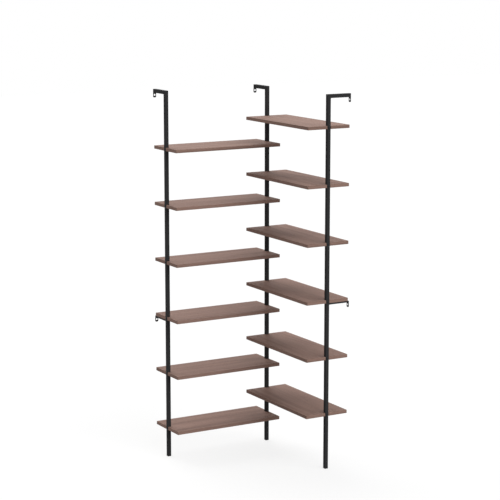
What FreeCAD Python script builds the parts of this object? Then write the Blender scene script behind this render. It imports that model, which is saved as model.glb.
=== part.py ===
import FreeCAD, Part
import math
import os

from FreeCAD import Vector

# A shelf unit for the inside corner of a room: two ladders of boards share the post in the corner.
# The left wing runs along -X, the right wing runs along -Y and stands higher, and Z is up.
# The walls are on the +X and +Y sides. The origin is on the floor, under the corner post's centre.

# Overall sizes in millimetres, with the room left between the boards and the walls
overall_height = 1830.0
post_pitch = 568.0
wall_gap = 5.25

# Square steel tube of the posts and of the top arms
tube_side = 18.0
tube_wall = 1.2
tube_outer_radius = 1.8

# Boards, the tiers that they stand on, and the rise of the posts above the uppermost board
board_depth = 233.5
board_thickness = 16.0
board_setback = 1.0
board_arris = 1.0
notch_clearance = 0.4
tier_count = 6
lowest_board_top = 153.5
right_wing_lift = 128.0
post_rise = 148.5

# Wall tabs, which hang from the top arms and from the bracket bars
tab_width = 16.0
tab_thickness = 3.0
tab_drop = 24.0
tab_corner_radius = 5.0
tab_hole_radius = 5.0
tab_hole_drop = 11.5

# Bracket bars, which tie each post to its wall under one board
bar_width = 16.0
bar_height = 7.5
bar_edge_radius = 1.0
bracket_tier = 3

# Bolts through the posts and threaded inserts in the board ends, with their rounds drawn as a few flats
bolt_radius = 3.0
bolt_tip_room = 2.0
bolt_hole_clearance = 0.3
bolt_head_radius = 5.25
bolt_head_flat_radius = 3.2
bolt_head_height = 3.2
bolt_head_rim = 0.9
thread_clearance = 0.2
insert_radius = 4.5
insert_length = 13.0
insert_fit = 0.1
round_sides = 10

# Plastic plugs that close the feet of the posts
foot_height = 4.0
foot_bevel = 1.0
foot_stem_length = 16.0
foot_stem_wall = 2.0
foot_stem_fit = 0.1

# Overrun that carries a cut clear of the surface it opens, and the least length of an edge
cut_overrun = 2.0
least_edge = 0.001

origin = Vector(0, 0, 0)
x_axis = Vector(1, 0, 0)
y_axis = Vector(0, 1, 0)
z_axis = Vector(0, 0, 1)
quarter_turn = 90
half_turn = 180
full_turn = 360
half_tube = tube_side / 2
wall_distance = board_depth / 2 + wall_gap
tube_bore = tube_side - 2 * tube_wall
bolt_length = tube_side + insert_length - bolt_tip_room
tiers = range(1, tier_count + 1)
tier_pitch = (overall_height - post_rise - right_wing_lift - lowest_board_top) / (tier_count - 1)

# Each wing: its turn about the corner post and its lift
wings = {
    "left": (0, 0),
    "right": (quarter_turn, right_wing_lift),
}

# Each post: its place, the turn that faces its arm to the wall, and the wing whose board its bracket holds
posts = {
    "left": (x_axis * -post_pitch, 0, "left"),
    "corner": (origin, 0, "left"),
    "right": (y_axis * -post_pitch, -quarter_turn, "right"),
}

# The wings that each post carries
carried_wings = {
    "left": ["left"],
    "corner": ["left", "right"],
    "right": ["right"],
}


def rounded_face(corners):
    """Face in the XY plane from (x, y, radius) corners taken in order."""
    places = [Vector(x, y, 0) for x, y, _ in corners]
    rounds = []
    for index, (_, _, radius) in enumerate(corners):
        here = places[index]
        back = (places[index - 1] - here).normalize()
        ahead = (places[(index + 1) % len(places)] - here).normalize()
        half_angle = back.getAngle(ahead) / 2
        reach = radius / math.tan(half_angle)
        crown_reach = radius / math.sin(half_angle) - radius
        crown = here + (back + ahead).normalize() * crown_reach
        rounds.append((here + back * reach, crown, here + ahead * reach))
    edges = []
    for index, (start, crown, end) in enumerate(rounds):
        last_end = rounds[index - 1][2]
        if last_end.distanceToPoint(start) > least_edge:
            edges.append(Part.makeLine(last_end, start))
        if start.distanceToPoint(end) > least_edge:
            edges.append(Part.Arc(start, crown, end).toShape())
    return Part.Face(Part.Wire(edges))


def square_bar(side, radius, length):
    """Upright square bar on the Z axis with rounded long edges."""
    half = side / 2
    signs = ((-1, -1), (1, -1), (1, 1), (-1, 1))
    corners = [(across * half, along * half, radius) for across, along in signs]
    return rounded_face(corners).extrude(z_axis * length)


def square_tube(length):
    """Upright length of the frame's tube on the Z axis."""
    outside = square_bar(tube_side, tube_outer_radius, length)
    bore = square_bar(tube_bore, 0, length)
    return outside.cut(bore)


def stand_up(shape):
    """Turn a flat shape upright: its Y becomes Z and its thickness runs towards -Y."""
    return shape.rotated(origin, x_axis, quarter_turn)


def board_top(wing, tier):
    return lowest_board_top + (tier - 1) * tier_pitch + wings[wing][1]


def bolt_height(wing, tier):
    return board_top(wing, tier) - board_thickness / 2


def on_wing(shape, wing):
    """Turn a shape from the left wing's frame to its wing."""
    return shape.rotated(origin, z_axis, wings[wing][0])


def on_post(shape, post):
    """Move a shape from the Z axis to its post, with +Y turned to that post's wall."""
    place, turn, _ = posts[post]
    return shape.rotated(origin, z_axis, turn).translated(place)


def mitre_wedge(above):
    """Prism on one side of the plane where a post and its top arm meet."""
    outer = half_tube + cut_overrun
    high = overall_height + cut_overrun
    low = overall_height - tube_side - cut_overrun
    side = Vector(-outer, outer, high) if above else Vector(-outer, -outer, low)
    points = [Vector(-outer, -outer, high), side, Vector(-outer, outer, low)]
    triangle = Part.Face(Part.makePolygon(points + points[:1]))
    return triangle.extrude(x_axis * (2 * outer))


def ring(radius, along):
    """Outline of a small round about the X axis, drawn with a few flats."""
    step = full_turn / round_sides
    turns = [FreeCAD.Rotation(x_axis, step * side) for side in range(round_sides)]
    corners = [turn.multVec(Vector(along, radius, 0)) for turn in turns]
    return Part.makePolygon(corners + corners[:1])


def rod(radius, length):
    """Small round bar from the origin along +X."""
    return Part.Face(ring(radius, 0)).extrude(x_axis * length)


def bolt_ways(wing):
    """Clear ways for a wing's bolts, through the posts at both of its ends."""
    length = post_pitch + tube_side + 2 * cut_overrun
    way = rod(bolt_radius + bolt_hole_clearance, length)
    start_x = half_tube + cut_overrun - length
    ways = [way.translated(Vector(start_x, 0, bolt_height(wing, tier))) for tier in tiers]
    return on_wing(Part.makeCompound(ways), wing)


def post_tube(post):
    """Post of square tube, mitred at the top and drilled for its bolts."""
    tube = square_tube(overall_height - foot_height).translated(z_axis * foot_height)
    tube = on_post(tube.cut(mitre_wedge(above=True)), post)
    for wing in carried_wings[post]:
        tube = tube.cut(bolt_ways(wing))
    return tube


def top_arm():
    """Arm of the same tube, from the mitre at the post to the wall tab."""
    length = wall_distance - tab_thickness + half_tube
    tube = stand_up(square_tube(length).translated(z_axis * -length))
    tube = tube.translated(Vector(0, -half_tube, overall_height - half_tube))
    return tube.cut(mitre_wedge(above=False))


def wall_tab(top, carrier_height):
    """Flat tab on the wall, with an eye for a screw below the arm or bar that carries it."""
    half = tab_width / 2
    bottom = -carrier_height - tab_drop
    corners = [
        (-half, bottom, tab_corner_radius),
        (half, bottom, tab_corner_radius),
        (half, 0, 0),
        (-half, 0, 0),
    ]
    plate = rounded_face(corners).extrude(z_axis * tab_thickness)
    eye_place = Vector(0, -carrier_height - tab_hole_drop, 0)
    plate = plate.cut(Part.makeCylinder(tab_hole_radius, tab_thickness, eye_place))
    return stand_up(plate).translated(Vector(0, wall_distance, top))


def bracket_level(post):
    """Underside of the board that a post's bracket holds."""
    return board_top(posts[post][2], bracket_tier) - board_thickness


def bracket_bar(level):
    """Bar under a board end, from the post to the wall tab."""
    half = bar_width / 2
    sides = ((-half, -bar_height), (half, -bar_height), (half, 0), (-half, 0))
    corners = [(across, up, bar_edge_radius) for across, up in sides]
    wall_end = wall_distance - tab_thickness
    bar = rounded_face(corners).extrude(z_axis * (wall_end - half_tube))
    return stand_up(bar).translated(Vector(0, wall_end, level))


def foot_plug():
    """Plug with a flange as wide as the tube and a hollow stem inside it."""
    flange = square_bar(tube_side, tube_outer_radius, foot_height)
    sole_edges = [edge for edge in flange.Edges if edge.BoundBox.ZMax < foot_height / 2]
    flange = flange.makeChamfer(foot_bevel, sole_edges)
    stem_side = tube_bore - 2 * foot_stem_fit
    stem = square_bar(stem_side, 0, foot_stem_length)
    hollow = square_bar(stem_side - 2 * foot_stem_wall, 0, foot_stem_length)
    return flange.fuse(stem.cut(hollow).translated(z_axis * foot_height)).removeSplitter()


def board_blank():
    """Board of the left wing, with a notch for a post in the middle of each end."""
    half_depth = board_depth / 2
    half_notch = half_tube + notch_clearance
    middle = -post_pitch / 2
    half_length = post_pitch / 2 + half_tube - board_setback
    half_floor = post_pitch / 2 - half_tube
    corner_end = [
        Vector(middle + half_length, -half_depth, 0),
        Vector(middle + half_length, -half_notch, 0),
        Vector(middle + half_floor, -half_notch, 0),
        Vector(middle + half_floor, half_notch, 0),
        Vector(middle + half_length, half_notch, 0),
        Vector(middle + half_length, half_depth, 0),
    ]
    far_end = [Vector(2 * middle - corner.x, -corner.y, 0) for corner in corner_end]
    outline = Part.makePolygon(corner_end + far_end + corner_end[:1])
    blank = Part.Face(outline).extrude(z_axis * board_thickness)
    flat_edges = [edge for edge in blank.Edges if edge.BoundBox.ZLength < board_thickness / 2]
    rim = [edge for edge in flat_edges if abs(edge.CenterOfMass.y) > half_notch + least_edge]
    return blank.makeChamfer(board_arris, rim)


def board():
    """Finished board with a pocket for an insert in the floor of each notch."""
    pocket = rod(insert_radius + insert_fit, insert_length).translated(z_axis * (board_thickness / 2))
    far_pocket = pocket.translated(x_axis * (half_tube - post_pitch))
    corner_pocket = pocket.rotated(origin, z_axis, half_turn).translated(x_axis * -half_tube)
    return board_blank().cut(far_pocket).cut(corner_pocket)


def bolt():
    """Button-head bolt along +X with the underside of its head at the origin."""
    outlines = [
        ring(bolt_head_flat_radius, -bolt_head_height),
        ring(bolt_head_radius, -bolt_head_rim),
        ring(bolt_head_radius, 0),
    ]
    head = Part.makeLoft(outlines, True, True)
    return head.fuse(rod(bolt_radius, bolt_length))


def insert():
    """Threaded sleeve along +X, flush with the floor of a notch."""
    sleeve = rod(insert_radius, insert_length)
    return sleeve.cut(rod(bolt_radius + thread_clearance, insert_length))


def tier_group(piece, wing, far_x, corner_x):
    """Copies of a piece at every tier: one group at the far end of a wing, one at the corner post."""
    heights = [z_axis * bolt_height(wing, tier) for tier in tiers]
    far = [piece.translated(x_axis * far_x + height) for height in heights]
    turned = piece.rotated(origin, z_axis, half_turn)
    corner = [turned.translated(x_axis * corner_x + height) for height in heights]
    return on_wing(Part.makeCompound(far), wing), on_wing(Part.makeCompound(corner), wing)


def save(name, shape):
    shape.exportStep(os.path.join("parts", name + ".step"))


def save_post_pieces(post):
    level = bracket_level(post)
    save(post + "_post", post_tube(post))
    save(post + "_foot_plug", on_post(foot_plug(), post))
    save(post + "_top_arm", on_post(top_arm(), post))
    save(post + "_top_tab", on_post(wall_tab(overall_height, tube_side), post))
    save(post + "_bracket_bar", on_post(bracket_bar(level), post))
    save(post + "_bracket_tab", on_post(wall_tab(level, bar_height), post))


def save_wing_pieces(wing):
    for tier in tiers:
        rest = z_axis * (board_top(wing, tier) - board_thickness)
        save("%s_shelf_%d" % (wing, tier), on_wing(board().translated(rest), wing))
    outer_face = half_tube + post_pitch
    far_bolts, corner_bolts = tier_group(bolt(), wing, -outer_face, half_tube)
    save(wing + "_far_bolts", far_bolts)
    save(wing + "_corner_bolts", corner_bolts)
    far_inserts, corner_inserts = tier_group(insert(), wing, half_tube - post_pitch, -half_tube)
    save(wing + "_far_inserts", far_inserts)
    save(wing + "_corner_inserts", corner_inserts)


os.makedirs("parts", exist_ok=True)
for post_name in posts:
    save_post_pieces(post_name)
for wing_name in wings:
    save_wing_pieces(wing_name)
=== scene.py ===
import math
from contextlib import contextmanager

import bmesh
import bpy
from mathutils import Matrix, Vector


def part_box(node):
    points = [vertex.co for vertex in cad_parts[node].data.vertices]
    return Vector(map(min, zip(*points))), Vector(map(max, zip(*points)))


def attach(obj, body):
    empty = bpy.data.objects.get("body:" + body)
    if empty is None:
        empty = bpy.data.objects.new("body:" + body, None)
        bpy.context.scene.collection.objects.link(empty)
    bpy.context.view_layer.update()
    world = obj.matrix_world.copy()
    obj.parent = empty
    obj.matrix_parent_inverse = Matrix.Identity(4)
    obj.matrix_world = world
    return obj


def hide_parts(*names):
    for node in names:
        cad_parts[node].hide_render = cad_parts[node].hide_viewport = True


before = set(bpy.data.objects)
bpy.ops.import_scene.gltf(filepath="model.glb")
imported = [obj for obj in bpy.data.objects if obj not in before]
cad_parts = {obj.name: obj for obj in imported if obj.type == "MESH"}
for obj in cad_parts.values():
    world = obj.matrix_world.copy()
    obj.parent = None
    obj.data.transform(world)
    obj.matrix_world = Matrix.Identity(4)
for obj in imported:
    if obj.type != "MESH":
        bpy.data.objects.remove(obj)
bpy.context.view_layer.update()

bl_info = {
    "name": "Corner ladder bookshelf",
    "version": (1, 0, 0),
    "blender": (4, 5, 0),
    "location": "3D View > Sidebar > Bookshelf",
    "description": "Walnut boards, black tube frame and fasteners of a two-winged corner bookshelf",
    "category": "Object",
}

BODY = "root"
FRAME_COAT = "black_powder_coat"
TIERS = range(1, 7)
ALONG_X, ALONG_Y, ALONG_Z = 0, 1, 2
QUARTER_TURN = math.radians(90)

# Slack for comparing places, and the distance within which points are merged, in metres
SLACK = 1e-5
MERGE_DISTANCE = 1e-6

# Largest bend between faces that count as flat, that are shaded as one round, or that need no rounded rim
FLAT_BEND = math.radians(1)
ROUND_BEND = math.radians(35)
FINE_ROUND_BEND = math.radians(40)
BEAD_BEND = math.radians(60)
RIM_BEND = math.radians(60)

# Corners of the side faces of a turned solid, and the turn from one corner of a key socket to the next
SIDE_CORNERS = 4
SOCKET_STEP = math.radians(60)

# Value that a noise swings about, and places in the noise for what differs from board to board
NOISE_MIDDLE = 0.5
HEART_SEED = (0.3, 0.7)
SLANT_SEED = (4.1, 2.7)

# Each wing: its turn about the corner post, and the axis that its boards run along
WINGS = {"left": (0.0, ALONG_X), "right": (QUARTER_TURN, ALONG_Y)}

# Each post: the axis that points from it to its wall
POSTS = {"left": ALONG_Y, "corner": ALONG_Y, "right": ALONG_X}

# Pieces that carry a wall tab, and their tabs
CARRIERS = {"top_arm": "top_tab", "bracket_bar": "bracket_tab"}

# Ends of a wing: the turn about Y that points a bolt's head outwards from the left wing's end
ENDS = {"far": -QUARTER_TURN, "corner": QUARTER_TURN}


def length(title, description, default):
    return bpy.props.FloatProperty(
        name=title, description=description, default=default, min=0.0,
        subtype="DISTANCE", unit="LENGTH", precision=5)


def colour(title, description, default):
    return bpy.props.FloatVectorProperty(
        name=title, description=description, default=default, size=3,
        min=0.0, max=1.0, subtype="COLOR")


def share(title, description, default):
    return bpy.props.FloatProperty(
        name=title, description=description, default=default, min=0.0, max=1.0, subtype="FACTOR")


def shares(title, description, default):
    return bpy.props.FloatVectorProperty(
        name=title, description=description, default=default, size=len(default), min=0.0, max=1.0)


def amount(title, description, default):
    return bpy.props.FloatProperty(name=title, description=description, default=default, min=0.0)


def rates(title, description, default):
    return bpy.props.FloatVectorProperty(
        name=title, description=description, default=default, size=3, min=0.0)


def count(title, description, default):
    return bpy.props.IntProperty(name=title, description=description, default=default, min=1)


def angle(title, description, degrees):
    return bpy.props.FloatProperty(
        name=title, description=description, default=math.radians(degrees),
        subtype="ANGLE", unit="ROTATION")


class BoardSettings(bpy.types.PropertyGroup):
    """Shape, colours and lacquer of the walnut boards."""

    notch_clearance: length("Notch clearance", "Room beside the post in a board's notch", 0.0004)
    corner_radius: length("Corner radius", "Rounding of a board's four upright corners", 0.0025)
    corner_steps: count("Corner steps", "Faces across the rounding of a corner", 4)
    arris: length("Arris", "Rounding of the upper and lower rims", 0.001)
    arris_steps: count("Arris steps", "Faces across the rounding of a rim", 3)
    pocket_radius: length("Pocket radius", "Radius of the hole for a threaded insert", 0.0046)
    pocket_sides: count("Pocket sides", "Faces round the hole for an insert", 32)
    pale: colour("Pale wood", "Walnut between the growth lines", (0.330, 0.210, 0.172))
    middle: colour("Middle wood", "Walnut's main colour", (0.280, 0.177, 0.144))
    dark: colour("Dark wood", "Walnut in the growth lines", (0.205, 0.127, 0.102))
    pore: colour("Pores", "Short dark pores along the grain", (0.120, 0.067, 0.050))
    roughness: share("Roughness", "Roughness of the satin lacquer", 0.64)
    index: amount("Index", "Index of refraction of the lacquer", 1.46)
    sheen: share("Sheen", "Strength of the lacquer's reflection", 0.1)


class FigureSettings(bpy.types.PropertyGroup):
    """Figure of the walnut. Rates are repeats in a metre along the grain, across it and upwards."""

    leaves: amount("Leaves", "Changes of figure in a metre of height, so that no two boards match", 7.0)
    heart_spread: length("Heart spread", "Range of the log's heart to the sides of a board", 0.30)
    heart_depth: length("Heart depth", "Depth of the log's heart under the middle of a board", 0.05)
    least_depth: length("Least depth", "Least depth of the heart anywhere", 0.006)
    slant: amount("Slant", "Range of the heart's fall along a board", 0.45)
    drift: rates("Drift", "Long waves of the grain", (2.1, 7.0, 7.0))
    drift_reach: length("Drift reach", "Sideways range of the long waves", 0.03)
    drift_depth: length("Drift depth", "Upward range of the long waves", 0.02)
    wander: rates("Wander", "Short waves of the grain", (5.0, 16.0, 7.0))
    wander_rise: length("Wander rise", "Shift that parts the short waves from the long ones", 9.0 / 7.0)
    wander_reach: length("Wander reach", "Sideways range of the short waves", 0.008)
    bands: rates("Bands", "Broad bands of growth", (0.7, 40.0, 31.0))
    lines: rates("Lines", "Narrow growth lines", (2.4, 270.0, 190.0))
    fibres: rates("Fibres", "Fine fibres", (22.0, 1500.0, 1500.0))
    pores: rates("Pores", "Short open pores", (60.0, 1900.0, 1900.0))
    mixture: shares("Mixture", "Shares of bands, lines and fibres in the colour", (0.5, 0.4, 0.1))
    dark_limits: shares("Dark limits", "Where dark wood ends and middle wood is reached", (0.36, 0.51))
    pale_limits: shares("Pale limits", "Where middle wood ends and pale wood is reached", (0.50, 0.66))
    late_lines: shares("Late lines", "Lines in which late wood starts and is full", (0.57, 0.66))
    late_bands: shares("Late bands", "Bands in which late wood starts and is full", (0.38, 0.60))
    late_share: share("Late share", "Strength of the late wood's dark", 0.45)
    pore_limits: shares("Pore limits", "Where a pore starts and is full", (0.60, 0.70))
    pore_share: share("Pore share", "Strength of the pores' dark", 0.65)
    end_limit: share("End limit", "How squarely a face looks along its board to count as an end", 0.7)
    # Painted shade on the boards' rounded rims, partly the edge band's dark seam: the rims are darkened
    # towards the pore colour
    rim_seam_and_shade_limits: shares(
        "Rim limits", "How squarely a face looks along an axis, on a rim and off it", (0.80, 0.97))
    rim_seam_and_shade: share("Rim share", "Strength of the dark along the rims", 0.35)
    line_sheen: share("Line sheen", "Range of the roughness from line to line", 0.18)
    pore_sheen: share("Pore sheen", "Roughness that a pore adds", 0.12)
    raised: shares("Raised", "Shares of lines and fibres in the relief", (0.3, 0.25))
    sunk: share("Sunk", "Share of the pores in the relief", 0.7)
    relief: length("Relief", "Height of the relief", 0.00006)
    bump: share("Bump", "Strength of the relief", 0.6)


class FrameSettings(bpy.types.PropertyGroup):
    """Finish, welds and wall tabs of the steel frame, and the finish of its foot plugs."""

    coat: colour("Coat", "Matt black powder coat", (0.030, 0.030, 0.031))
    coat_roughness: share("Coat roughness", "Roughness of the powder coat", 0.64)
    coat_grain: amount("Coat grain", "Pimples of the powder coat in a metre", 750.0)
    coat_relief: length("Coat relief", "Height of the powder coat's pimples", 0.00012)
    plug: colour("Plug", "Moulded black plastic of the foot plugs", (0.028, 0.028, 0.0285))
    plug_roughness: share("Plug roughness", "Roughness of the plastic", 0.62)
    plug_grain: amount("Plug grain", "Pimples of the plastic in a metre", 1600.0)
    plug_relief: length("Plug relief", "Height of the plastic's pimples", 0.00008)
    sheen: share("Sheen", "Strength of the coat's and the plastic's reflection", 0.05)
    weld_radius: length("Weld radius", "Radius of the weld beads in the inside corners", 0.002)
    weld_ripple: length("Weld ripple", "Depth of the ripples along a bead", 0.00025)
    weld_step: length("Weld step", "Length of one ripple", 0.0013)
    weld_crest: share("Weld crest", "Place of the crest along a ripple", 0.55)
    weld_tip: share("Weld tip", "Radius of a bead's tips against the bead's own", 0.45)
    weld_reach: share("Weld reach", "Reach of a bead's tips against the bead's radius", 0.5)
    weld_sides: count("Weld sides", "Faces round a bead", 16)
    tab_corner: length("Tab corner", "Rounding of a wall tab's lower corners", 0.005)
    tab_corner_steps: count("Tab corner steps", "Faces across the rounding of a corner", 10)
    tab_arris: length("Tab arris", "Rounding of a wall tab's rims", 0.0004)
    tab_arris_steps: count("Tab arris steps", "Faces across the rounding of a rim", 2)
    eye_radius: length("Eye radius", "Radius of the screw eye in a wall tab", 0.005)
    eye_drop: length("Eye drop", "From the arm or bar down to the middle of the eye", 0.0115)
    eye_sides: count("Eye sides", "Faces round the screw eye", 40)


class CoatSettings(bpy.types.PropertyGroup):
    """Texture that the powder coat and the moulded plastic share."""

    specks: amount("Specks", "How many times finer the specks are than the pimples", 2.7)
    clouds: amount("Clouds", "Clouds of sheen in a metre", 9.0)
    mixture: shares("Mixture", "Shares of pimples, specks and clouds in the colour", (0.5, 0.3, 0.2))
    mixture_limits: shares(
        "Mixture limits", "Where the dark end is left and the light one reached", (0.38, 0.62))
    dark: amount("Dark", "Dark end of the colour against its middle", 0.84)
    light: amount("Light", "Light end of the colour against its middle", 1.22)
    cloud_sheen: share("Cloud sheen", "Range of the roughness from cloud to cloud", 0.14)
    pimple_sheen: share("Pimple sheen", "Range of the roughness from pimple to pimple", 0.16)
    raised: shares("Raised", "Shares of pimples and specks in the relief", (0.7, 0.3))
    bump: share("Bump", "Strength of the relief", 0.7)


class FastenerSettings(bpy.types.PropertyGroup):
    """Shape and finish of the bolts and the threaded inserts."""

    sides: count("Sides", "Faces round a bolt or an insert", 24)
    bolt_radius: length("Bolt radius", "Outer radius of the thread", 0.003)
    thread_pitch: length("Thread pitch", "Distance from one turn to the next", 0.001)
    thread_depth: length("Thread depth", "Depth of the thread's grooves", 0.0004)
    thread_room: length("Thread room", "Radial room between bolt and insert", 0.0002)
    tip_room: length("Tip room", "From the bolt's tip to the end of its insert", 0.002)
    head_radius: length("Head radius", "Radius of the button head", 0.00525)
    head_height: length("Head height", "Height of the button head", 0.0032)
    head_rim: length("Head rim", "Height of the straight rim under the dome", 0.0008)
    dome_steps: count("Dome steps", "Rings from the rim to the crown", 6)
    crown_radius: length("Crown radius", "Radius of the flat round the key socket", 0.0031)
    socket_width: length("Socket width", "Key socket across its flats", 0.004)
    socket_depth: length("Socket depth", "Depth of the key socket", 0.0019)
    insert_radius: length("Insert radius", "Radius over an insert's barbs", 0.0045)
    insert_length: length("Insert length", "Length of an insert", 0.013)
    barb_depth: length("Barb depth", "Depth between an insert's barbs", 0.0005)
    barb_step: length("Barb step", "Distance from one barb to the next", 0.0018)
    barb_crest: share("Barb crest", "Place of the crest along a barb", 0.8)
    black: colour("Bolt finish", "Black finish of the bolts", (0.035, 0.035, 0.037))
    black_roughness: share("Bolt roughness", "Roughness of the black finish", 0.42)
    black_marks: amount("Bolt marks", "Turning marks of the bolts in a metre", 1800.0)
    zinc: colour("Insert finish", "Zinc plate of the inserts", (0.62, 0.60, 0.56))
    zinc_roughness: share("Insert roughness", "Roughness of the zinc plate", 0.34)
    zinc_marks: amount("Insert marks", "Turning marks of the inserts in a metre", 1400.0)


class PlateSettings(bpy.types.PropertyGroup):
    """Texture that the bolts' black finish and the inserts' zinc share."""

    tarnish: amount("Tarnish", "Clouds of tarnish in a metre", 240.0)
    tarnish_limits: shares("Tarnish limits", "Where tarnish starts and is full", (0.35, 0.68))
    dark: share("Dark", "Colour of the tarnish against that of the metal", 0.72)
    mark_sheen: share("Mark sheen", "Range of the roughness from mark to mark", 0.2)
    tarnish_sheen: share("Tarnish sheen", "Range of the roughness from cloud to cloud", 0.1)
    relief: length("Relief", "Depth of the turning marks", 0.00003)
    bump: share("Bump", "Strength of the relief", 0.5)


class StageSettings(bpy.types.PropertyGroup):
    """Floor, light and camera."""

    camera_place: bpy.props.FloatVectorProperty(
        name="Camera place", description="Where the camera stands", size=3,
        default=(-4.3457, -7.3532, 2.5086), subtype="TRANSLATION", unit="LENGTH")
    camera_turn: angle("Camera turn", "Turn of the view to the right of +Y", 30.01)
    camera_dip: angle("Camera dip", "Fall of the view below level", 10.03)
    camera_lens: bpy.props.FloatProperty(
        name="Lens", description="Focal length on a 36 mm sensor", default=122.99, subtype="DISTANCE_CAMERA")
    floor_size: length("Floor size", "Side of the floor", 40.0)
    floor: colour("Floor", "Colour of the floor for the light that it throws back", (0.40, 0.40, 0.40))
    floor_seen: colour("Floor seen", "Colour of the floor under its glow", (0.20, 0.20, 0.20))
    floor_glow: share("Floor glow", "Light of its own that the camera sees on the floor", 0.8)
    surround: colour("Surround", "Colour of the background", (1.0, 1.0, 1.0))
    sky: share("Sky", "Strength of the even light from all round", 0.40)
    lamp_distance: length("Lamp distance", "From the corner post's foot to where the lamps stand", 6.0)
    key: amount("Key", "Strength of the large lamp in front", 1.85)
    key_turn: angle("Key turn", "Turn of the front lamp from straight in front towards the right", 18.0)
    key_rise: angle("Key rise", "Rise of the front lamp above level", 36.0)
    key_spread: angle("Key spread", "Width of the front lamp as seen from the shelf", 60.0)
    back: amount("Back", "Strength of the large lamp behind", 1.9)
    back_turn: angle("Back turn", "Turn of the rear lamp from straight in front towards the right", 180.0)
    back_rise: angle("Back rise", "Rise of the rear lamp above level", 45.0)
    back_spread: angle("Back spread", "Width of the rear lamp as seen from the shelf", 50.0)


def settings(group):
    return getattr(bpy.context.scene, "corner_shelf_" + group)


def select_only(piece):
    bpy.ops.object.select_all(action="DESELECT")
    piece.select_set(True)
    bpy.context.view_layer.objects.active = piece


@contextmanager
def editing(piece):
    """Edit mode on one piece, with all of its mesh selected."""
    select_only(piece)
    bpy.ops.object.mode_set(mode="EDIT")
    bpy.ops.mesh.select_all(action="SELECT")
    yield bmesh.from_edit_mesh(piece.data)
    bpy.ops.object.mode_set(mode="OBJECT")


def pick(piece, kind, wanted):
    """In edit mode, select the edges or faces that pass a test, and nothing else."""
    bpy.ops.mesh.select_mode(type=kind)
    bpy.ops.mesh.select_all(action="DESELECT")
    form = bmesh.from_edit_mesh(piece.data)
    for item in {"EDGE": form.edges, "FACE": form.faces}[kind]:
        item.select_set(wanted(item))
    bmesh.update_edit_mesh(piece.data)


def span(item):
    """Lowest and highest corner of the box round an edge or a face."""
    places = [vertex.co for vertex in item.verts]
    return Vector(map(min, zip(*places))), Vector(map(max, zip(*places)))


def is_cap(face):
    """Whether a face of a turned solid closes one of its ends."""
    return len(face.verts) > SIDE_CORNERS


def settle(piece):
    """Move an object's place, turn and size into its mesh."""
    select_only(piece)
    bpy.ops.object.transform_apply(location=True, rotation=True, scale=True)


def copy_to(piece, name, matrix):
    """Copy a piece with a mesh of its own, and settle the copy at its place."""
    select_only(piece)
    bpy.ops.object.duplicate(linked=False)
    copy = bpy.context.object
    copy.name = copy.data.name = name
    copy.matrix_world = matrix
    settle(copy)
    return copy


def join(pieces, name):
    """Join pieces into one object with a name of its own."""
    select_only(pieces[0])
    for piece in pieces:
        piece.select_set(True)
    bpy.ops.object.join()
    joined = bpy.context.object
    joined.name = joined.data.name = name
    return joined


def discard(piece):
    select_only(piece)
    bpy.ops.object.delete()


def apply_modifier(piece, kind, **values):
    select_only(piece)
    modifier = piece.modifiers.new(kind.title(), kind)
    for key, value in values.items():
        setattr(modifier, key, value)
    bpy.ops.object.modifier_apply(modifier=modifier.name)


def smooth(piece, bend=ROUND_BEND):
    """Round shading over the small faces, with the large ones kept flat."""
    select_only(piece)
    bpy.ops.object.shade_smooth_by_angle(angle=bend)
    apply_modifier(piece, "WEIGHTED_NORMAL", keep_sharp=True)


def hand_over(piece, material, slot, *nodes):
    """Give a finished piece its material and its body, and hide the nodes that it stands for. The slot is not
    used.
    """
    piece.data.materials.clear()
    piece.data.materials.append(material)
    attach(piece, BODY)
    if nodes:
        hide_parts(*nodes)


def paint_nodes(material, names):
    """Give CAD nodes a material and keep their shape."""
    for name in names:
        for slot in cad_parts[name].material_slots:
            slot.material = material


def turned(rings, sides):
    """Solid turned about Z through (radius, height) rings, from its first to its last."""
    radius, height = rings[0]
    bpy.ops.object.select_all(action="DESELECT")
    bpy.ops.mesh.primitive_circle_add(
        vertices=sides, radius=radius, fill_type="NGON", location=(0, 0, height))
    piece = bpy.context.object
    settle(piece)
    with editing(piece):
        for next_radius, next_height in rings[1:]:
            rise = (0, 0, next_height - height)
            bpy.ops.mesh.extrude_region_move(TRANSFORM_OT_translate={"value": rise})
            growth = next_radius / radius
            bpy.ops.transform.resize(value=(growth, growth, 1), center_override=(0, 0, next_height))
            radius, height = next_radius, next_height
    return piece


def drill(piece, radius, depth, sides, place):
    """Cut a round hole along the Z axis of a place, as deep before it as behind it."""
    tool = turned([(radius, -depth), (radius, depth)], sides)
    tool.matrix_world = place
    settle(tool)
    apply_modifier(piece, "BOOLEAN", object=tool, operation="DIFFERENCE", solver="EXACT")
    discard(tool)


def close_normals(piece):
    """Merge doubles and turn every face outwards."""
    with editing(piece):
        bpy.ops.mesh.remove_doubles(threshold=MERGE_DISTANCE)
        bpy.ops.mesh.normals_make_consistent(inside=False)


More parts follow.
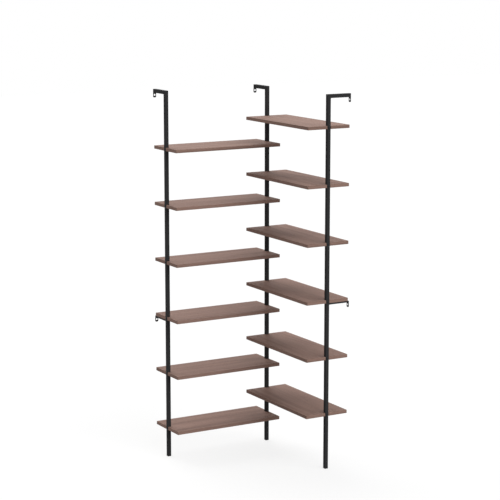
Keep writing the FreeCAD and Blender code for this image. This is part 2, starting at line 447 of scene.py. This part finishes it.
class Value:
    """One output of a material's nodes. Sums, products and comparisons of values add Math nodes."""

    def __init__(self, finish, socket):
        self.finish = finish
        self.socket = socket

    def maths(self, operation, first, second=0.0):
        return self.finish.add("ShaderNodeMath", {"operation": operation}, {0: first, 1: second})

    def __add__(self, other):
        return self.maths("ADD", self, other)

    def __radd__(self, other):
        return self.maths("ADD", other, self)

    def __sub__(self, other):
        return self.maths("SUBTRACT", self, other)

    def __rsub__(self, other):
        return self.maths("SUBTRACT", other, self)

    def __mul__(self, other):
        return self.maths("MULTIPLY", self, other)

    def __rmul__(self, other):
        return self.maths("MULTIPLY", other, self)

    def __gt__(self, other):
        return self.maths("GREATER_THAN", self, other)

    def __abs__(self):
        return self.maths("ABSOLUTE", self)

    def root(self):
        return self.maths("SQRT", self)

    def larger(self, other):
        return self.maths("MAXIMUM", self, other)

    def sway(self, reach):
        """A noise turned into a swing about zero."""
        return (self - NOISE_MIDDLE) * reach

    def between(self, start, end):
        """0 below start, 1 above end and a straight rise between them."""
        limits = {"Value": self, "From Min": start, "From Max": end}
        return self.finish.add("ShaderNodeMapRange", {"clamp": True}, limits)


class Finish:
    """The nodes of a material or of the world in the making."""

    def __init__(self, owner):
        owner.use_nodes = True
        self.owner = owner
        self.tree = owner.node_tree
        self.tree.nodes.clear()

    def add(self, kind, values=None, inputs=None, output=0):
        """Add a node: its settings first, then the values or links of its sockets."""
        node = self.tree.nodes.new(kind)
        for key, value in (values or {}).items():
            setattr(node, key, value)
        for key, value in (inputs or {}).items():
            socket = self.find(node.inputs, key)
            if isinstance(value, Value):
                self.tree.links.new(value.socket, socket)
            else:
                socket.default_value = value
        return Value(self, self.find(node.outputs, output)) if node.outputs else node

    def find(self, sockets, key):
        """Socket by number or by name. Where names repeat for each type of data, the one in use is meant."""
        if isinstance(key, int):
            return sockets[key]
        return next(socket for socket in sockets if socket.name == key and socket.enabled)

    def every(self, kind, inputs=None):
        """Add a node and give all of its outputs by name."""
        node = self.add(kind, inputs=inputs).socket.node
        return {socket.name: Value(self, socket) for socket in node.outputs}

    def parts(self, vector):
        """The X, Y and Z of a vector."""
        return list(self.every("ShaderNodeSeparateXYZ", {0: vector}).values())

    def place(self):
        return self.add("ShaderNodeTexCoord", output="Object")

    def facing(self):
        """How squarely a face looks along X, Y and Z."""
        return [abs(part) for part in self.parts(self.add("ShaderNodeTexCoord", output="Normal"))]

    def noise(self, vector, scale=1.0, detail=2.0, roughness=0.5):
        inputs = {"Vector": vector, "Scale": scale, "Detail": detail, "Roughness": roughness}
        return self.add("ShaderNodeTexNoise", inputs=inputs)

    def combined(self, parts):
        """A vector from its X, Y and Z."""
        return self.add("ShaderNodeCombineXYZ", inputs=dict(enumerate(parts)))

    def layer(self, place, repeats, detail=2.0, roughness=0.5):
        """Noise that repeats so many times in a metre along each of three directions."""
        stretched = [part * repeat for part, repeat in zip(place, repeats)]
        return self.noise(self.combined(stretched), detail=detail, roughness=roughness)

    def blend(self, amount, first, second):
        inputs = {"Factor": amount, "A": opaque(first), "B": opaque(second)}
        return self.add("ShaderNodeMix", {"data_type": "RGBA"}, inputs, "Result")

    def bump(self, height, distance, strength):
        inputs = {"Height": height, "Distance": distance, "Strength": strength}
        return self.add("ShaderNodeBump", inputs=inputs)

    def seen(self):
        """1 for rays that show the surround or its reflection, 0 for rays that light the object."""
        path = self.every("ShaderNodeLightPath")
        return path["Is Camera Ray"].larger(path["Is Glossy Ray"]).larger(path["Is Transmission Ray"])

    def close(self, shader, output="ShaderNodeOutputMaterial"):
        self.add(output, inputs={"Surface": shader})
        return self.owner

    def surface(self, inputs):
        """Close a material with one Principled shader."""
        return self.close(self.add("ShaderNodeBsdfPrincipled", inputs=inputs))


def opaque(value):
    return value if isinstance(value, Value) else (*value, 1.0)


def mixed(layers, parts):
    """Sum of layers, each by its share."""
    first, *others = [layer * part for layer, part in zip(layers, parts)]
    return sum(others, first)


def walnut(wing):
    """Satin walnut veneer: cathedral figure on the faces, straight grain on the bands round the edges."""
    look, figure = settings("board"), settings("figure")
    finish = Finish(bpy.data.materials.new(f"walnut_{wing}"))
    place, facing = finish.parts(finish.place()), finish.facing()
    long_axis = WINGS[wing][1]
    long, wide, height = place[long_axis], place[1 - long_axis], place[ALONG_Z]
    end = facing[long_axis] > figure.end_limit
    along = long + (wide - long) * end
    across = wide + (long - wide) * end

    # The heart of the log runs at a slant below each board, so that its rings show as long arches
    low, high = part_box(f"{wing}_shelf_{TIERS[0]}")
    from_middle = along - (low[long_axis] + high[long_axis]) / 2
    leaf = height * figure.leaves
    heart = finish.noise(finish.combined((leaf, *HEART_SEED))).sway(figure.heart_spread)
    slant = finish.noise(finish.combined((leaf, *SLANT_SEED))).sway(figure.slant)
    drift = finish.layer((along, across, height), figure.drift)
    wander = finish.layer((along, across, height + figure.wander_rise), figure.wander)
    offset = across - heart + drift.sway(figure.drift_reach) + wander.sway(figure.wander_reach)
    depth = from_middle * slant + drift.sway(figure.drift_depth) + figure.heart_depth
    depth = depth.larger(figure.least_depth)
    ring = (offset * offset + depth * depth).root()

    bands = finish.layer((along, ring, height), figure.bands, detail=3.0)
    lines = finish.layer((along, ring, height), figure.lines, detail=4.0, roughness=0.62)
    fibres = finish.layer((along, offset, height), figure.fibres)
    pores = finish.layer((along, offset, height), figure.pores, detail=1.0)

    growth = mixed((bands, lines, fibres), figure.mixture)
    late = lines.between(*figure.late_lines) * bands.between(*figure.late_bands)
    pits = pores.between(*figure.pore_limits)
    # Painted shade, partly the edge band's dark seam: faces that look along no axis squarely, the rounded
    # rims, are found here
    rim = 1.0 - facing[ALONG_X].larger(facing[ALONG_Y]).larger(facing[ALONG_Z]).between(*figure.rim_seam_and_shade_limits)
    body = finish.blend(growth.between(*figure.dark_limits), look.dark, look.middle)
    body = finish.blend(growth.between(*figure.pale_limits), body, look.pale)
    body = finish.blend(late * figure.late_share, body, look.dark)
    body = finish.blend(pits * figure.pore_share, body, look.pore)
    # The rims are drawn towards the pore colour: painted shade together with the dark seam of the edge band
    body = finish.blend(rim * figure.rim_seam_and_shade, body, look.pore)

    height_map = mixed((lines, fibres), figure.raised) - pits * figure.sunk
    return finish.surface({
        "Base Color": body,
        "Roughness": look.roughness + lines.sway(figure.line_sheen) + pits * figure.pore_sheen,
        "Normal": finish.bump(height_map, figure.relief, figure.bump),
        "IOR": look.index,
        "Specular IOR Level": look.sheen,
    })


def powder_coat(name, base, rough, grain, relief):
    """Fine orange-peel coat: cloudy sheen, small pimples and a colour that hardly varies."""
    coat = settings("coat")
    finish = Finish(bpy.data.materials.new(name))
    place = finish.place()
    pimples = finish.noise(place, grain, roughness=0.55)
    specks = finish.noise(place, grain * coat.specks, detail=1.0)
    clouds = finish.noise(place, coat.clouds, detail=3.0)
    dark = [part * coat.dark for part in base]
    light = [part * coat.light for part in base]
    mixture = mixed((pimples, specks, clouds), coat.mixture)
    return finish.surface({
        "Base Color": finish.blend(mixture.between(*coat.mixture_limits), dark, light),
        "Roughness": rough + clouds.sway(coat.cloud_sheen) + pimples.sway(coat.pimple_sheen),
        "Normal": finish.bump(mixed((pimples, specks), coat.raised), relief, coat.bump),
        "Specular IOR Level": settings("frame").sheen,
    })


def plated_metal(name, base, rough, streak):
    """Plated steel with fine turning marks and a faint tarnish."""
    plate = settings("plate")
    finish = Finish(bpy.data.materials.new(name))
    place = finish.place()
    marks = finish.noise(place, streak, detail=3.0, roughness=0.6)
    tarnish = finish.noise(place, plate.tarnish, detail=3.0)
    dull = [part * plate.dark for part in base]
    return finish.surface({
        "Base Color": finish.blend(tarnish.between(*plate.tarnish_limits), base, dull),
        "Metallic": 1.0,
        "Roughness": rough + marks.sway(plate.mark_sheen) + tarnish.sway(plate.tarnish_sheen),
        "Normal": finish.bump(marks, plate.relief, plate.bump),
    })


def board_outline(low, high, floors, half_notch):
    """Outline of the left wing's board as a flat face at height zero, with a notch in both ends."""
    middle = (low + high) / 2
    bpy.ops.object.select_all(action="DESELECT")
    bpy.ops.mesh.primitive_plane_add(size=1, location=(middle.x, middle.y, 0))
    board = bpy.context.object
    board.scale = (high.x - low.x, high.y - low.y, 1)
    settle(board)
    cuts = [((x, 0, 0), (1, 0, 0)) for x in floors]
    cuts += [((0, side * half_notch, 0), (0, 1, 0)) for side in (-1, 1)]

    def in_notch(face):
        start, end = span(face)
        inside = max(abs(start.y), abs(end.y)) < half_notch + SLACK
        return inside and (end.x < floors[0] + SLACK or start.x > floors[1] - SLACK)

    with editing(board):
        for point, normal in cuts:
            bpy.ops.mesh.select_all(action="SELECT")
            bpy.ops.mesh.bisect(plane_co=point, plane_no=normal)
        pick(board, "FACE", in_notch)
        bpy.ops.mesh.delete(type="FACE")
    return board


def thicken_board(board, thickness, half_notch, look):
    """Raise a board from its outline, and round its upright corners and its rims outside the notches."""

    def is_corner(edge):
        start, end = span(edge)
        return end.z - start.z > thickness / 2 and min(abs(start.y), abs(end.y)) > half_notch + SLACK

    def is_rim(edge):
        start, end = span(edge)
        return end.z - start.z < thickness / 2 and max(abs(start.y), abs(end.y)) > half_notch + SLACK

    with editing(board):
        bpy.ops.mesh.extrude_region_move(TRANSFORM_OT_translate={"value": (0, 0, thickness)})
        bpy.ops.mesh.select_all(action="SELECT")
        bpy.ops.mesh.normals_make_consistent(inside=False)
        bpy.ops.mesh.dissolve_limited(angle_limit=FLAT_BEND)
        pick(board, "EDGE", is_corner)
        bpy.ops.mesh.bevel(offset=look.corner_radius, segments=look.corner_steps, affect="EDGES")
        pick(board, "EDGE", is_rim)
        bpy.ops.mesh.bevel(offset=look.arris, segments=look.arris_steps, affect="EDGES")


def board_pattern(look):
    """The board that all twelve are copied from: left wing, underside at height zero."""
    low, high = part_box(f"left_shelf_{TIERS[0]}")
    far_post, corner_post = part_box("left_post"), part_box("corner_post")
    thickness = high.z - low.z
    floors = far_post[1].x, corner_post[0].x
    half_notch = corner_post[1].y + look.notch_clearance
    board = board_outline(low, high, floors, half_notch)
    thicken_board(board, thickness, half_notch, look)
    for floor in floors:
        pocket = Matrix.Translation((floor, 0, thickness / 2)) @ Matrix.Rotation(QUARTER_TURN, 4, "Y")
        drill(board, look.pocket_radius, settings("fastener").insert_length, look.pocket_sides, pocket)
    close_normals(board)
    smooth(board)
    return board


def bolt_pattern(look):
    """Button-head bolt on the Z axis, head up, with the underside of the head at height zero."""
    post_low, post_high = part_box("left_post")
    thread_length = look.insert_length - look.tip_room
    tip = post_low.x - post_high.x - thread_length
    root = look.bolt_radius - look.thread_depth
    rings = [(root - look.thread_depth, tip), (root, tip + look.thread_depth)]
    for turn in range(int(thread_length / look.thread_pitch)):
        base = tip + look.thread_depth + turn * look.thread_pitch
        rings += [(look.bolt_radius, base + look.thread_pitch / 2), (root, base + look.thread_pitch)]
    rings += [(look.bolt_radius, rings[-1][1] + look.thread_depth), (look.bolt_radius, 0)]
    rings += [(look.head_radius, 0), (look.head_radius, look.head_rim)]
    dome_width, dome_height = look.head_radius - look.crown_radius, look.head_height - look.head_rim
    for step in range(1, look.dome_steps + 1):
        swing = QUARTER_TURN * step / look.dome_steps
        reach = look.crown_radius + dome_width * math.cos(swing)
        rings.append((reach, look.head_rim + dome_height * math.sin(swing)))
    bolt = turned(rings, look.sides)
    cut_socket(bolt, look)
    close_normals(bolt)
    smooth(bolt, FINE_ROUND_BEND)
    return bolt


def cut_socket(bolt, look):
    """Press a six-sided key socket into the crown of a bolt."""
    apothem = look.socket_width / 2
    corner = apothem / math.cos(SOCKET_STEP / 2)
    with editing(bolt) as form:
        pick(bolt, "FACE", lambda face: is_cap(face) and face.calc_center_median().z > 0)
        bpy.ops.mesh.inset(thickness=look.crown_radius - corner)
        for vertex in [vertex for vertex in form.verts if vertex.select]:
            bearing = math.atan2(vertex.co.y, vertex.co.x) % SOCKET_STEP - SOCKET_STEP / 2
            flat = vertex.co.xy.normalized() * (apothem / math.cos(bearing))
            vertex.co = (flat.x, flat.y, vertex.co.z)
        bmesh.update_edit_mesh(bolt.data)
        bpy.ops.mesh.extrude_region_move(TRANSFORM_OT_translate={"value": (0, 0, -look.socket_depth)})


def insert_pattern(look):
    """Threaded sleeve on the Z axis with its mouth at height zero, barbed outside and threaded inside."""
    bore = look.bolt_radius + look.thread_room
    waist = look.insert_radius - look.barb_depth
    rings = [(bore, -look.insert_length)]
    barbs = int(look.insert_length / look.barb_step)
    step = look.insert_length / barbs
    for barb in range(barbs):
        foot = barb * step - look.insert_length
        rings += [(waist, foot), (look.insert_radius, foot + step * look.barb_crest)]
    rings += [(waist, 0), (bore, 0)]
    turns = round(look.insert_length / look.thread_pitch)
    pitch = look.insert_length / turns
    for turn in range(1, turns + 1):
        rings += [(bore + look.thread_depth, pitch / 2 - turn * pitch), (bore, -turn * pitch)]
    sleeve = turned(rings, look.sides)
    with editing(sleeve):
        pick(sleeve, "FACE", is_cap)
        bpy.ops.mesh.delete(type="FACE")
    close_normals(sleeve)
    smooth(sleeve, FINE_ROUND_BEND)
    return sleeve


def place_on_wings(pattern, seats, material, slot, kind):
    """Copy a fastener to every tier at both ends of both wings, as one piece for each end."""
    for wing, (turn, _) in WINGS.items():
        for end, tilt in ENDS.items():
            copies = []
            for tier in TIERS:
                low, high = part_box(f"{wing}_shelf_{tier}")
                seat = Matrix.Translation((seats[end], 0, (low.z + high.z) / 2))
                matrix = Matrix.Rotation(turn, 4, "Z") @ seat @ Matrix.Rotation(tilt, 4, "Y")
                copies.append(copy_to(pattern, "fastener", matrix))
            group = join(copies, f"{wing}_{end}_{kind}")
            hand_over(group, material, slot, f"{wing}_{end}_{slot}s")
    discard(pattern)


def weld_bead(width, look):
    """Rippled bead on the Z axis, rounded at both ends."""
    ripples = max(2, int(width / look.weld_step))
    step = width / ripples
    valley = look.weld_radius - look.weld_ripple
    tip_radius = look.weld_radius * look.weld_tip
    tip_place = width / 2 + look.weld_radius * look.weld_reach
    rings = [(tip_radius, -tip_place)]
    for ripple in range(ripples):
        foot = ripple * step - width / 2
        rings += [(valley, foot), (look.weld_radius, foot + step * look.weld_crest)]
    rings += [(valley, width / 2), (tip_radius, tip_place)]
    return turned(rings, look.weld_sides)


def tab_pattern(beam, plate, look):
    """Wall tab for the end of an arm or bar, with the middle of its top at the origin and its eye along Y."""
    size = plate[1] - plate[0]
    eye_height = beam[0].z - beam[1].z - look.eye_drop
    bpy.ops.object.select_all(action="DESELECT")
    bpy.ops.mesh.primitive_cube_add(size=1, location=(0, 0, -size.z / 2))
    tab = bpy.context.object
    tab.scale = size
    settle(tab)

    def is_lower_corner(edge):
        low, high = span(edge)
        return high.z < -size.z / 2 and high.y - low.y > size.y / 2

    with editing(tab):
        pick(tab, "EDGE", is_lower_corner)
        bpy.ops.mesh.bevel(offset=look.tab_corner, segments=look.tab_corner_steps, affect="EDGES")
    eye = Matrix.Translation((0, 0, eye_height)) @ Matrix.Rotation(QUARTER_TURN, 4, "X")
    drill(tab, look.eye_radius, size.y, look.eye_sides, eye)
    apply_modifier(
        tab, "BEVEL", width=look.tab_arris, segments=look.tab_arris_steps,
        limit_method="ANGLE", angle_limit=RIM_BEND)
    close_normals(tab)
    smooth(tab)
    return tab


class CORNER_SHELF_OT_boards(bpy.types.Operator):
    """Model the twelve notched walnut boards"""

    bl_idname = "corner_shelf.boards"
    bl_label = "Boards"

    def execute(self, context):
        pattern = board_pattern(settings("board"))
        for wing, (turn, _) in WINGS.items():
            wood = walnut(wing)
            for tier in TIERS:
                node = f"{wing}_shelf_{tier}"
                lift = Matrix.Translation((0, 0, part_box(node)[0].z))
                board = copy_to(pattern, f"{wing}_board_{tier}", lift @ Matrix.Rotation(turn, 4, "Z"))
                hand_over(board, wood, "board", node)
        discard(pattern)
        return {"FINISHED"}


class CORNER_SHELF_OT_frame(bpy.types.Operator):
    """Coat the posts, arms and bars in matt black"""

    bl_idname = "corner_shelf.frame"
    bl_label = "Frame"

    def execute(self, context):
        look = settings("frame")
        coat = powder_coat(FRAME_COAT, look.coat, look.coat_roughness, look.coat_grain, look.coat_relief)
        paint_nodes(coat, [f"{post}_{kind}" for post in POSTS for kind in ("post", *CARRIERS)])
        return {"FINISHED"}


class CORNER_SHELF_OT_tabs(bpy.types.Operator):
    """Model the wall tabs with their screw eyes"""

    bl_idname = "corner_shelf.tabs"
    bl_label = "Wall tabs"

    def execute(self, context):
        coat = bpy.data.materials[FRAME_COAT]
        for carrier, tab in CARRIERS.items():
            pattern = tab_pattern(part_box(f"left_{carrier}"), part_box(f"left_{tab}"), settings("frame"))
            for post, wall_axis in POSTS.items():
                low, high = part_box(f"{post}_{tab}")
                place = Matrix.Translation(((low.x + high.x) / 2, (low.y + high.y) / 2, high.z))
                turn = Matrix.Rotation(-QUARTER_TURN if wall_axis == ALONG_X else 0, 4, "Z")
                plate = copy_to(pattern, f"{post}_{tab}_plate", place @ turn)
                hand_over(plate, coat, "frame", f"{post}_{tab}")
            discard(pattern)
        return {"FINISHED"}


class CORNER_SHELF_OT_welds(bpy.types.Operator):
    """Lay a weld bead in each inside corner of the frame"""

    bl_idname = "corner_shelf.welds"
    bl_label = "Welds"

    def execute(self, context):
        look = settings("frame")
        coat = bpy.data.materials[FRAME_COAT]
        for post, wall_axis in POSTS.items():
            side_axis = 1 - wall_axis
            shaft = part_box(f"{post}_post")
            tip = Matrix.Rotation(QUARTER_TURN, 4, "X" if side_axis == ALONG_Y else "Y")
            beads = []
            for carrier, tab in CARRIERS.items():
                beam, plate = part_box(f"{post}_{carrier}"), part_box(f"{post}_{tab}")
                width = plate[1][side_axis] - plate[0][side_axis] - 2 * look.weld_radius
                bead = weld_bead(width, look)
                for depth in (shaft[1][wall_axis], plate[0][wall_axis]):
                    place = (shaft[0] + shaft[1]) / 2
                    place[wall_axis] = depth
                    place.z = beam[0].z
                    beads.append(copy_to(bead, "bead", Matrix.Translation(place) @ tip))
                discard(bead)
            welds = join(beads, f"{post}_welds")
            close_normals(welds)
            smooth(welds, BEAD_BEND)
            hand_over(welds, coat, "frame")
        return {"FINISHED"}


class CORNER_SHELF_OT_plugs(bpy.types.Operator):
    """Finish the foot plugs in moulded plastic"""

    bl_idname = "corner_shelf.plugs"
    bl_label = "Foot plugs"

    def execute(self, context):
        look = settings("frame")
        plastic = powder_coat(
            "moulded_plastic", look.plug, look.plug_roughness, look.plug_grain, look.plug_relief)
        paint_nodes(plastic, [f"{post}_foot_plug" for post in POSTS])
        return {"FINISHED"}


class CORNER_SHELF_OT_bolts(bpy.types.Operator):
    """Model the button-head bolts that hold the boards to the posts"""

    bl_idname = "corner_shelf.bolts"
    bl_label = "Bolts"

    def execute(self, context):
        look = settings("fastener")
        seats = {"far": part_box("left_post")[0].x, "corner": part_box("corner_post")[1].x}
        black = plated_metal("black_bolt_steel", look.black, look.black_roughness, look.black_marks)
        place_on_wings(bolt_pattern(look), seats, black, "bolt", "button_bolts")
        return {"FINISHED"}


class CORNER_SHELF_OT_inserts(bpy.types.Operator):
    """Model the threaded inserts in the ends of the boards"""

    bl_idname = "corner_shelf.inserts"
    bl_label = "Inserts"

    def execute(self, context):
        look = settings("fastener")
        seats = {"far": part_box("left_post")[1].x, "corner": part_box("corner_post")[0].x}
        zinc = plated_metal("zinc_plate", look.zinc, look.zinc_roughness, look.zinc_marks)
        place_on_wings(insert_pattern(look), seats, zinc, "insert", "threaded_inserts")
        return {"FINISHED"}


class CORNER_SHELF_OT_stage(bpy.types.Operator):
    """Add the pale floor, the soft light and the camera"""

    bl_idname = "corner_shelf.stage"
    bl_label = "Stage"

    def execute(self, context):
        look = settings("stage")
        context.scene.view_settings.view_transform = "Standard"
        self.add_floor(look)
        key = self.add_lamp("key_lamp", look.lamp_distance, look.key_turn, look.key_rise)
        key.energy = look.key
        key.angle = look.key_spread
        back = self.add_lamp("back_lamp", look.lamp_distance, look.back_turn, look.back_rise)
        back.energy = look.back
        back.angle = look.back_spread
        self.add_sky(context, look)
        self.add_camera(context, look)
        return {"FINISHED"}

    def add_floor(self, look):
        """Floor that is white to the camera apart from a faint shadow, and grey to the light."""
        bpy.ops.object.select_all(action="DESELECT")
        bpy.ops.mesh.primitive_plane_add(size=look.floor_size)
        floor = bpy.context.object
        floor.name = floor.data.name = "floor"
        finish = Finish(bpy.data.materials.new("pale_floor"))
        seen = finish.seen()
        tone = finish.blend(seen, look.floor, look.floor_seen)
        diffuse = finish.add("ShaderNodeBsdfDiffuse", inputs={"Color": tone})
        glow = finish.add("ShaderNodeEmission", inputs={"Strength": seen * look.floor_glow})
        both = finish.add("ShaderNodeAddShader", inputs={0: diffuse, 1: glow})
        floor.data.materials.append(finish.close(both))

    def add_lamp(self, name, distance, turn, rise):
        """Distant soft lamp, turned from straight in front towards the right and raised above level."""
        level = math.cos(rise)
        aim = Vector((level * math.sin(turn), -level * math.cos(turn), math.sin(rise)))
        bpy.ops.object.light_add(type="SUN", location=aim * distance)
        lamp = bpy.context.object
        lamp.name = lamp.data.name = name
        lamp.rotation_euler = aim.to_track_quat("Z", "Y").to_euler()
        return lamp.data

    def add_sky(self, context, look):
        """Even light from all round, in front of a white background."""
        finish = Finish(bpy.data.worlds.new("white_surround"))
        strength = finish.seen() * (1.0 - look.sky) + look.sky
        inputs = {"Color": opaque(look.surround), "Strength": strength}
        context.scene.world = finish.close(
            finish.add("ShaderNodeBackground", inputs=inputs), "ShaderNodeOutputWorld")

    def add_camera(self, context, look):
        turn = (QUARTER_TURN - look.camera_dip, 0, -look.camera_turn)
        bpy.ops.object.camera_add(location=look.camera_place, rotation=turn)
        camera = context.object
        camera.name = "view_camera"
        camera.data.lens = look.camera_lens
        camera.data.clip_end = look.floor_size * 2
        context.scene.camera = camera


GROUPS = {
    "board": BoardSettings,
    "figure": FigureSettings,
    "frame": FrameSettings,
    "coat": CoatSettings,
    "fastener": FastenerSettings,
    "plate": PlateSettings,
    "stage": StageSettings,
}
OPERATORS = (
    CORNER_SHELF_OT_boards,
    CORNER_SHELF_OT_frame,
    CORNER_SHELF_OT_tabs,
    CORNER_SHELF_OT_welds,
    CORNER_SHELF_OT_plugs,
    CORNER_SHELF_OT_bolts,
    CORNER_SHELF_OT_inserts,
    CORNER_SHELF_OT_stage,
)


class CORNER_SHELF_PT_sidebar(bpy.types.Panel):
    """Sizes and steps of the corner bookshelf"""

    bl_idname = "CORNER_SHELF_PT_sidebar"
    bl_label = "Corner bookshelf"
    bl_space_type = "VIEW_3D"
    bl_region_type = "UI"
    bl_category = "Bookshelf"

    def draw(self, context):
        for operator in OPERATORS:
            self.layout.operator(operator.bl_idname)
        for group, kind in GROUPS.items():
            box = self.layout.box()
            box.label(text=group.title())
            for key in kind.__annotations__:
                box.prop(settings(group), key)


def register():
    for group, kind in GROUPS.items():
        bpy.utils.register_class(kind)
        setattr(bpy.types.Scene, "corner_shelf_" + group, bpy.props.PointerProperty(type=kind))
    for kind in (*OPERATORS, CORNER_SHELF_PT_sidebar):
        bpy.utils.register_class(kind)


def unregister():
    for kind in (CORNER_SHELF_PT_sidebar, *reversed(OPERATORS)):
        bpy.utils.unregister_class(kind)
    for group, kind in GROUPS.items():
        delattr(bpy.types.Scene, "corner_shelf_" + group)
        bpy.utils.unregister_class(kind)


def main():
    register()
    bpy.ops.corner_shelf.boards()
    bpy.ops.corner_shelf.frame()
    bpy.ops.corner_shelf.tabs()
    bpy.ops.corner_shelf.welds()
    bpy.ops.corner_shelf.plugs()
    bpy.ops.corner_shelf.bolts()
    bpy.ops.corner_shelf.inserts()
    bpy.ops.corner_shelf.stage()


if __name__ == "__main__":
    main()
